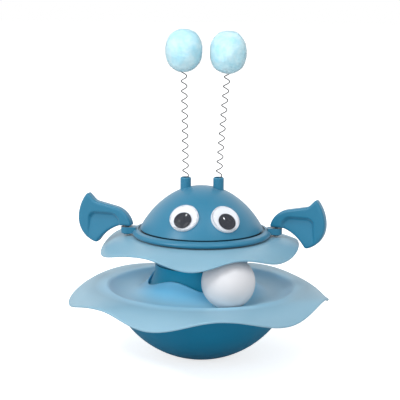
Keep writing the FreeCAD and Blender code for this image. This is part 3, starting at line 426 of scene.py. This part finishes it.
def tray_section(azimuth):
    """Collar, track, bend, drooping brim, and the rib and land that sit in the bowl's rim."""
    outer = TRACK_RADIUS + TRAY_WALL
    bend = math.radians(BEND_ANGLE)
    hinge = arc(TRACK_CENTRE, outer + BEND_RADIUS, bend, bend, 1)[0]
    level = (hinge[0], hinge[1] + BEND_RADIUS)
    edge = (leaning(hinge[0] + BRIM_WIDTH, BRIM_LEAN, azimuth),
            level[1] - BRIM_DROP + wavy(BRIM_TURNS, azimuth))
    drop = COLLAR_DROP - COLLAR_WAVE * math.cos(math.radians(COLLAR_WAVES * (azimuth + COLLAR_PHASE)))
    tip = -math.acos(drop / (TRACK_RADIUS + TRAY_WALL / 2))
    lip = arc(TRACK_CENTRE, TRACK_RADIUS + TRAY_WALL / 2, tip, tip, 1)[0]
    rise = math.sqrt(BOWL_RADIUS ** 2 - FOOT_RADIUS ** 2)
    land_out = math.sqrt(BOWL_RADIUS ** 2 - (rise - BOWL_RIM) ** 2)
    inside = BOWL_RADIUS - BOWL_WALL
    land_in = math.sqrt(inside ** 2 - (rise - BOWL_RIM) ** 2) - RIB_CLEARANCE
    rib_out = math.sqrt(inside ** 2 - (rise - BOWL_RIM + RIB_DEPTH) ** 2) - RIB_CLEARANCE
    rib_in = rib_out - RIB_WIDTH
    land_angle, rib_angle = (math.asin((r - TRACK_CENTRE[0]) / outer) for r in (land_out, rib_in))
    return [
        *arc(TRACK_CENTRE, TRACK_RADIUS, tip, bend, 2 * ARC_STEPS),
        *arc(hinge, BEND_RADIUS + TRAY_WALL, math.pi + bend, math.pi)[1:-1],
        *brim(level, edge, TRAY_WALL),
        *arc(hinge, BEND_RADIUS, math.pi, math.pi + bend)[1:],
        *arc(TRACK_CENTRE, outer, bend, land_angle)[1:],
        (land_out, BOWL_RIM),
        (land_in, BOWL_RIM),
        (rib_out, BOWL_RIM - RIB_DEPTH),
        (rib_in, BOWL_RIM - RIB_DEPTH),
        *arc(TRACK_CENTRE, outer, rib_angle, tip, 2 * ARC_STEPS),
        *arc(lip, TRAY_WALL / 2, tip, tip - math.pi, LIP_STEPS)[1:-1],
    ]


def skirt_section(azimuth):
    """Flat inner flange and a drooping wavy brim."""
    start = (SKIRT_START, SKIRT_FLOOR)
    edge = (leaning(SKIRT_START + SKIRT_WIDTH, SKIRT_LEAN, azimuth),
            SKIRT_FLOOR - SKIRT_DROP + wavy(SKIRT_TURNS, azimuth))
    return [
        (SKIRT_HOLE, SKIRT_FLOOR + SKIRT_WALL),
        *brim(start, edge, SKIRT_WALL),
        (SKIRT_HOLE, SKIRT_FLOOR),
    ]


def sweep_round(name, section_at, material, node):
    """A ring-shaped piece through sections at equal azimuths, which stands for a CAD node."""
    points, faces = [], []
    count = len(section_at(0))
    for k in range(STATIONS):
        azimuth = k * 360 / STATIONS
        turned = math.radians(azimuth)
        points += [(r * math.sin(turned), -r * math.cos(turned), z) for r, z in section_at(azimuth)]
        here, there = k * count, (k + 1) % STATIONS * count
        faces += [(here + i, here + (i + 1) % count, there + (i + 1) % count, there + i)
                  for i in range(count)]
    piece = new_piece(name, points, faces, material, "toy", [node])
    smooth_by_weight(piece, 50)


# Claws, in millimetres and degrees

CLAW_PIVOT = (57.2, 102.3)
CLAW_SWING = -20.0
CLAW_HALF = 4.0
CLAW_ROUNDING = 2.0
TOP_BOW = 16.9
CROWN_BOW = 30.9
HEEL_BOW = 18.9
INNER_BOW = 32.4
OUTLINE_STEP = 0.5
OUTLINE_SOFTENING = 16
RIM_INSETS = (0.08, 0.3, 0.65, 1.1)
CLAW_GRID = 0.55
GRID_ROW = 0.866
GRID_MARGIN = 1.4
RECESS_TOP = 9.8
RECESS_START = 4.5
RECESS_END = 31.0
RECESS_ROUNDS = (8.0, 6.0)
RECESS_DEPTH = 3.0
RECESS_SLOPE = 8.0
RECESS_FLARE = 42.0
RECESS_BLEND = 0.5
RECESS_EASE = 0.35
EASE_MAKEUP = 0.04


def bowed(start, end, radius, side, steps=24):
    """Points of an arc between two points, without the last: side 1 bulges to the left of its way."""
    way = end - start
    middle = (start + end) / 2
    aside = Vector((-way.y, way.x)).normalized()
    offset = math.sqrt(radius * radius - way.length_squared / 4)
    centre = middle - aside * side * offset
    first, last = start - centre, end - centre
    whole = first.angle_signed(last)
    turned = [Matrix.Rotation(-whole * k / steps, 2) @ first for k in range(steps)]
    return [centre + spoke for spoke in turned]


def straight(start, end, steps=12):
    """Points of a line between two points, without the last."""
    return [start.lerp(end, k / steps) for k in range(steps)]


def claw_outline():
    """Rounded outline of a claw that reaches towards +X, from its flat end round the top and back."""
    root_in, root_out = Vector((-4.6, 0)), Vector((4.8, 0))
    shoulder, dip, tip = Vector((9.5, 14.4)), Vector((25.7, 17.6)), Vector((31.8, 24.0))
    back, point = Vector((39.4, 3.7)), Vector((23.8, -14.9))
    loop = [
        *bowed(root_in, shoulder, TOP_BOW, 1),
        *straight(shoulder, dip),
        *straight(dip, tip),
        *bowed(tip, back, CROWN_BOW, 1),
        *bowed(back, point, HEEL_BOW, 1),
        *bowed(point, root_out, INNER_BOW, -1),
        *straight(root_out, root_in),
    ]
    return soften(resample(loop, OUTLINE_STEP), OUTLINE_SOFTENING)


def resample(loop, spacing):
    """Points at equal distances along a closed loop."""
    corners = loop + [loop[0]]
    lengths = [(b - a).length for a, b in zip(corners, corners[1:])]
    count = round(sum(lengths) / spacing)
    step = sum(lengths) / count
    points, index, before = [], 0, 0.0
    for k in range(count):
        along = k * step
        while before + lengths[index] < along:
            before += lengths[index]
            index += 1
        points.append(corners[index].lerp(corners[index + 1], (along - before) / lengths[index]))
    return points


def soften(loop, times):
    """A closed loop with its corners rounded by averaging neighbours."""
    for _ in range(times):
        loop = [(loop[i - 1] + loop[i] * 2 + loop[(i + 1) % len(loop)]) / 4 for i in range(len(loop))]
    return loop


def smooth_least(a, b, width):
    """The smaller of two values, blended where they are close."""
    share = max(0.0, min(1.0, 0.5 + (b - a) / (2 * width)))
    return b + (a - b) * share - width * share * (1 - share)


def recess_inside(x, z):
    """Distance into the hollow's outline: two upright sides and a top edge with rounded corners."""
    start_round, end_round = RECESS_ROUNDS
    down = RECESS_TOP - z
    if x < RECESS_START + start_round and down < start_round:
        return start_round - math.hypot(RECESS_START + start_round - x, start_round - down)
    if x > RECESS_END - end_round and down < end_round:
        return end_round - math.hypot(x - RECESS_END + end_round, end_round - down)
    return min(x - RECESS_START, RECESS_END - x, down)


def claw_height(x, z, rim):
    """Half thickness of a claw at a point that lies a distance inside its outline."""
    height = CLAW_HALF
    if rim < CLAW_ROUNDING:
        height -= CLAW_ROUNDING - math.sqrt(CLAW_ROUNDING ** 2 - (CLAW_ROUNDING - rim) ** 2)
    floor = RECESS_DEPTH - (RECESS_TOP - z) * math.tan(math.radians(RECESS_SLOPE))
    side = recess_inside(x, z) / math.tan(math.radians(RECESS_FLARE))
    sink = smooth_least(floor, side, RECESS_BLEND)
    return height - max(0.0, sink + math.hypot(sink, RECESS_EASE)) / 2 + EASE_MAKEUP


def distance_to_loop(point, loop):
    """Distance of a point to a closed loop."""
    least = 1e9
    for i, corner in enumerate(loop):
        way = corner - loop[i - 1]
        share = max(0.0, min(1.0, (point - loop[i - 1]).dot(way) / way.length_squared))
        least = min(least, (loop[i - 1] + way * share - point).length)
    return least


def is_inside(point, loop):
    """Whether a point lies inside a closed loop."""
    odd = False
    for i, b in enumerate(loop):
        a = loop[i - 1]
        crosses = (a.y > point.y) != (b.y > point.y)
        if crosses and point.x < a.x + (point.y - a.y) / (b.y - a.y) * (b.x - a.x):
            odd = not odd
    return odd


def claw_face():
    """A claw's face as triangles: its outline, its spots, their half thickness and the triangles."""
    loop = claw_outline()
    spots = list(loop)
    for inset in RIM_INSETS:
        for i, corner in enumerate(loop):
            way = (loop[(i + 1) % len(loop)] - loop[i - 1]).normalized()
            spot = corner + Vector((way.y, -way.x)) * inset
            if distance_to_loop(spot, loop) > inset * 0.95:
                spots.append(spot)
    low_x, high_x = min(p.x for p in loop), max(p.x for p in loop)
    low_z, high_z = min(p.y for p in loop), max(p.y for p in loop)
    rows = math.ceil((high_z - low_z) / (CLAW_GRID * GRID_ROW))
    columns = math.ceil((high_x - low_x) / CLAW_GRID)
    for row in range(rows):
        for column in range(columns):
            spot = Vector((low_x + (column + row % 2 / 2) * CLAW_GRID, low_z + row * CLAW_GRID * GRID_ROW))
            if is_inside(spot, loop) and distance_to_loop(spot, loop) > GRID_MARGIN:
                spots.append(spot)
    edges = [(i, (i + 1) % len(loop)) for i in range(len(loop))]
    flat, _, triangles, _, _, _ = geometry.delaunay_2d_cdt(spots, edges, [], 1, 1e-5)
    heights = [claw_height(p.x, p.y, min(CLAW_ROUNDING, distance_to_loop(p, loop))) for p in flat]
    return flat, heights, triangles, edges


def make_claw(side, sign, face):
    """Flat hook-shaped claw with rounded rims and a soft hollow in both faces."""
    flat, heights, triangles, edges = face
    turned = Matrix.Rotation(math.radians(CLAW_SWING), 3, "Z")
    pivot = Vector((CLAW_PIVOT[0] * sign, 0, CLAW_PIVOT[1]))
    points = [pivot + turned @ Vector((p.x * sign, y * way, p.y))
              for way in (-1, 1) for p, y in zip(flat, heights)]
    count = len(flat)
    faces = [tuple(t) for t in triangles]
    faces += [tuple(i + count for i in reversed(t)) for t in triangles]
    faces += [(a, b, b + count, a + count) for a, b in edges]
    name = f"{side}_claw"
    claw = new_piece(f"{side}_claw_shell", points, faces, "dark_blue_plastic", name, [name])
    shape = bmesh.new()
    shape.from_mesh(claw.data)
    bmesh.ops.recalc_face_normals(shape, faces=shape.faces)
    shape.to_mesh(claw.data)
    shape.free()
    smooth_by_weight(claw, 60)


# Springs

def helix(foot, top, share, foot_x, tip_x, turns, start):
    """A point of a spring's wire: a coil about a line that leans more and more towards its tip."""
    run = 2 * WIRE_RADIUS
    angle = math.radians(start) + 2 * math.pi * turns * share
    lean = (tip_x - foot_x) * share ** LEAN_POWER
    return Vector((foot_x + lean + COIL_RADIUS * math.cos(angle), COIL_RADIUS * math.sin(angle),
                   foot + run + (top - foot - 2 * run) * share))


def tube(points, radius, sides=12):
    """Vertices and faces of a tube along points, closed at both ends."""
    vertices, faces = [], []
    across = Vector((0, 1, 0))
    for i, point in enumerate(points):
        ahead = points[min(i + 1, len(points) - 1)] - points[max(i - 1, 0)]
        ahead.normalize()
        across = (across - ahead * across.dot(ahead)).normalized()
        side = ahead.cross(across)
        for k in range(sides):
            turned = 2 * math.pi * k / sides
            vertices.append(point + (across * math.cos(turned) + side * math.sin(turned)) * radius)
        if i:
            a, b = (i - 1) * sides, i * sides
            faces += [(a + k, a + (k + 1) % sides, b + (k + 1) % sides, b + k) for k in range(sides)]
    faces.append(tuple(reversed(range(sides))))
    faces.append(tuple(range(len(vertices) - sides, len(vertices))))
    return vertices, faces


def make_spring(side):
    """A spring in two lengths, the lower and the upper half of its wire."""
    low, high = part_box(f"{side}_spring")
    foot, top = low[2] / MM, high[2] / MM
    steps = round(STEPS_PER_TURN * SPRINGS[side]["turns"])
    run = Vector((0, 0, 2 * WIRE_RADIUS))
    line = [helix(foot, top, k / steps, **SPRINGS[side]) for k in range(steps + 1)]
    line = [line[0] - run] + line + [line[-1] + run]
    middle = len(line) // 2
    spans = (("lower", line[:middle + 1], "toy", f"{side}_antenna", LOWER_BEND),
             ("upper", line[middle:], f"{side}_antenna", f"{side}_tip", UPPER_BEND))
    for part, points, first, second, (start, end) in spans:
        vertices, faces = tube(points, WIRE_RADIUS)
        piece = new_piece(f"{side}_spring_{part}", vertices, faces, "spring_wire")
        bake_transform(piece)
        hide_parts(f"{side}_spring")


# Pompoms

class Pompom:
    """A brushed ball of yarn: a lumpy body in the space of its CAD solid, and a short fuzz over it."""

    SQUARENESS = 2.25
    SEEDS = {"left": 11, "right": 29}
    PLAIN_SHARE = 0.965
    LUMPS = ((1.6, 0.035), (4.5, 0.018), (17, 0.006))
    HAIRS = 9000
    ROOT_DEPTH = 0.5
    HAIR_LENGTH = (0.9, 1.5)
    HAIR_RADIUS = (0.07, 0.12)
    HAIR_LEAN = (0.1, 0.9)
    THIRD_TURN = 2.094

    def __init__(self, side):
        low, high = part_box(f"{side}_pompom")
        self.side = side
        self.centre = (Vector(low) + Vector(high)) / 2 / MM
        self.radius = (high[0] - low[0]) / 2 / MM
        self.half_height = (high[2] - low[2]) / 2 / MM

    def reach(self, way):
        """How far the yarn reaches from the centre in a direction, lumps included."""
        power = self.SQUARENESS
        flat = math.hypot(way.x, way.y) / self.radius
        plain = (flat ** power + (abs(way.z) / self.half_height) ** power) ** (-1 / power)
        spot = way + self.centre
        lumps = sum(noise.noise(spot * scale) * height for scale, height in self.LUMPS)
        return plain * (self.PLAIN_SHARE + lumps)

    def make_body(self):
        """The lumpy ball itself."""
        sphere = bmesh.new()
        bmesh.ops.create_icosphere(sphere, subdivisions=6, radius=1)
        ways = [v.co.normalized() for v in sphere.verts]
        faces = [tuple(v.index for v in face.verts) for face in sphere.faces]
        sphere.free()
        points = [self.centre + way * self.reach(way) for way in ways]
        body = new_piece(f"{self.side}_pompom_core", points, faces, "blue_yarn", f"{self.side}_tip",
                         [f"{self.side}_pompom"])

    def make_pile(self):
        """Short tapered hairs that stand nearly upright all over the ball."""
        chance = random.Random(self.SEEDS[self.side])
        vertices, faces, normals = [], [], []
        for k in range(self.HAIRS):
            z = 1 - 2 * (k + 0.5) / self.HAIRS
            turned = math.pi * (1 + math.sqrt(5)) * k
            flat = math.sqrt(1 - z * z)
            way = Vector((flat * math.cos(turned), flat * math.sin(turned), z))
            across = way.orthogonal().normalized()
            aside = way.cross(across)
            heading = chance.uniform(0, 2 * math.pi)
            sideways = across * math.cos(heading) + aside * math.sin(heading)
            lean = sideways * chance.uniform(*self.HAIR_LEAN)
            root = self.centre + way * (self.reach(way) - self.ROOT_DEPTH)
            length = chance.uniform(*self.HAIR_LENGTH)
            thick = chance.uniform(*self.HAIR_RADIUS)
            base = len(vertices)
            for share, width in ((0.0, 1.0), (0.6, 0.7)):
                spot = root + way * length * share + lean * share
                for corner in range(3):
                    turn = self.THIRD_TURN * corner + k
                    outwards = across * math.cos(turn) + aside * math.sin(turn)
                    vertices.append(spot + outwards * thick * width)
            vertices.append(root + way * length + lean)
            for c in range(3):
                faces.append((base + c, base + (c + 1) % 3, base + 3 + (c + 1) % 3, base + 3 + c))
            for c in range(3):
                faces.append((base + 3 + c, base + 3 + (c + 1) % 3, base + 6))
            faces.append((base + 2, base + 1, base))
            normals += [way] * 7
        pile = new_piece(f"{self.side}_pompom_pile", vertices, faces, "blue_yarn", f"{self.side}_tip")
        pile.data.normals_split_custom_set_from_vertices(normals)


# Carried-over nodes

def dress_nodes():
    """Every CAD node gets its material and smooth shading.

    The dome and the claw pins have the ring's colour; the bowl and the neck have lighter copies of it,
    painted light that makes up for the shade that falls on them.
    """
    slots = {part["node"]: part["material_slot"] for part in frame["record"]["subparts"]}
    for name in ("head_dome", "left_claw_pin", "right_claw_pin"):
        slots[name] = slots["head_ring"]
    # Painted light: the bowl and the neck take their lighter copies of the dark blue
    slots["base_bowl"] = "bowl_plastic_painted_light"
    slots["neck_column"] = "neck_plastic_painted_light"
    for name, node in frame["nodes"].items():
        node.data.materials.clear()
        node.data.materials.append(MATERIALS[slots[name]])
        smooth_by_weight(node)


# Camera, lights and floor

# The photograph's viewpoint in metres and degrees, and its frame, focal length and target in pixels
CAMERA_DISTANCE = 1.3
CAMERA_RISE = 10.63
CAMERA_ROLL = 0.6
CAMERA_TARGET = Vector((0, 0, 0.127))
SENSOR = 36
FRAME = 400
FOCAL_PIXELS = 1703
TARGET_PIXEL = (201.98, 194.37)


def make_camera():
    """The photograph's viewpoint: in front, a little above and leaning a little."""
    data = bpy.data.cameras.new("camera")
    camera = bpy.data.objects.new("camera", data)
    bpy.context.scene.collection.objects.link(camera)
    bpy.context.scene.camera = camera
    rise = math.radians(CAMERA_RISE)
    back = Vector((0, -math.cos(rise), math.sin(rise)))
    camera.location = CAMERA_TARGET + back * CAMERA_DISTANCE
    look = (-back).to_track_quat("-Z", "Y").to_matrix()
    camera.rotation_euler = (look @ Matrix.Rotation(math.radians(CAMERA_ROLL), 3, "Z")).to_euler()
    data.sensor_width = SENSOR
    data.lens = SENSOR * FOCAL_PIXELS / FRAME
    data.shift_x = (FRAME / 2 - TARGET_PIXEL[0]) / FRAME
    data.shift_y = (TARGET_PIXEL[1] - FRAME / 2) / FRAME
    data.clip_start, data.clip_end = 0.05, 50


HEAD = Vector((0, -0.03, 0.11))
ROOM_COLOUR = (0.97, 0.98, 1.0, 1)
ROOM_STRENGTH = 0.72
FLOOR_COLOUR = (0.72, 0.72, 0.72, 1)
FLOOR_GLOW = 0.73
FLOOR_HALF = 3.0


def lamp(name, way, distance, power, size, size_y=None):
    """An area lamp in a direction from the head, aimed at it: a disc, or with two sizes a rectangle."""
    data = bpy.data.lights.new(name, "AREA")
    data.energy = power
    data.size = size
    data.shape = "DISK"
    if size_y:
        data.shape = "RECTANGLE"
        data.size_y = size_y
    made = bpy.data.objects.new(name, data)
    bpy.context.scene.collection.objects.link(made)
    made.location = HEAD + Vector(way).normalized() * distance
    made.rotation_euler = (HEAD - made.location).to_track_quat("-Z", "Y").to_euler()


def background_rays(nodes, links):
    """1 for the rays that show the background: the camera's, and those in gloss and clear parts."""
    path = nodes.new("ShaderNodeLightPath")
    total = path.outputs["Is Camera Ray"]
    for name in ("Is Glossy Ray", "Is Transmission Ray"):
        either = nodes.new("ShaderNodeMath")
        either.operation = "MAXIMUM"
        links.new(total, either.inputs[0])
        links.new(path.outputs[name], either.inputs[1])
        total = either.outputs[0]
    return total


def make_lights():
    """A small key from the upper left, two broad fills, two strips above the eyes and a bright room."""
    lamp("key", (-0.69, -0.46, 0.65), 1.5, 5.8, 0.21)
    lamp("soft", (-0.1, -1.0, 0.32), 2.2, 9, 1.8)
    lamp("low", (-1.0, -0.6, 0.22), 2.0, 4, 1.2)
    lamp("left_glint", (-0.234, -0.329, 0.915), 1.0, 1.7, 0.05, 0.16)
    lamp("right_glint", (0.369, -0.379, 0.849), 1.0, 1.5, 0.05, 0.16)
    world = bpy.data.worlds.new("studio")
    bpy.context.scene.world = world
    world.use_nodes = True
    nodes, links = world.node_tree.nodes, world.node_tree.links
    room = nodes["Background"]
    room.inputs["Color"].default_value = ROOM_COLOUR
    room.inputs["Strength"].default_value = ROOM_STRENGTH
    white = nodes.new("ShaderNodeBackground")
    white.inputs["Color"].default_value = (1, 1, 1, 1)
    mix = nodes.new("ShaderNodeMixShader")
    links.new(background_rays(nodes, links), mix.inputs["Fac"])
    links.new(room.outputs[0], mix.inputs[1])
    links.new(white.outputs[0], mix.inputs[2])
    links.new(mix.outputs[0], nodes["World Output"].inputs["Surface"])


def make_floor():
    """A pale floor that fades into the white surroundings and keeps the toy's soft shadow.

    Its own glow is for the camera's rays alone.
    """
    material, nodes, links, shader = new_material("floor")
    nodes.remove(shader)
    diffuse = nodes.new("ShaderNodeBsdfDiffuse")
    diffuse.inputs["Color"].default_value = FLOOR_COLOUR
    glow = nodes.new("ShaderNodeEmission")
    glow.inputs["Strength"].default_value = FLOOR_GLOW
    both = nodes.new("ShaderNodeAddShader")
    mix = nodes.new("ShaderNodeMixShader")
    links.new(diffuse.outputs[0], both.inputs[0])
    links.new(glow.outputs[0], both.inputs[1])
    path = nodes.new("ShaderNodeLightPath")
    links.new(path.outputs["Is Camera Ray"], mix.inputs["Fac"])
    links.new(diffuse.outputs[0], mix.inputs[1])
    links.new(both.outputs[0], mix.inputs[2])
    links.new(mix.outputs[0], nodes["Material Output"].inputs["Surface"])
    corners = [(x * FLOOR_HALF, y * FLOOR_HALF, 0) for x, y in ((-1, -1), (1, -1), (1, 1), (-1, 1))]
    mesh = bpy.data.meshes.new("floor")
    mesh.from_pydata(corners, [], [(0, 1, 2, 3)])
    mesh.materials.append(material)
    floor = bpy.data.objects.new("floor", mesh)
    bpy.context.scene.collection.objects.link(floor)


bpy.context.scene.view_settings.view_transform = "Standard"
make_camera()
make_lights()
make_floor()
dress_nodes()
sweep_round("tray_shell", tray_section, "tray_plastic_painted_light", "ball_tray")
sweep_round("skirt_shell", skirt_section, "light_blue_plastic", "upper_skirt")
claw = claw_face()
for side, sign in (("left", -1), ("right", 1)):
    make_claw(side, sign, claw)
    make_spring(side)
    pompom = Pompom(side)
    pompom.make_body()
    pompom.make_pile()
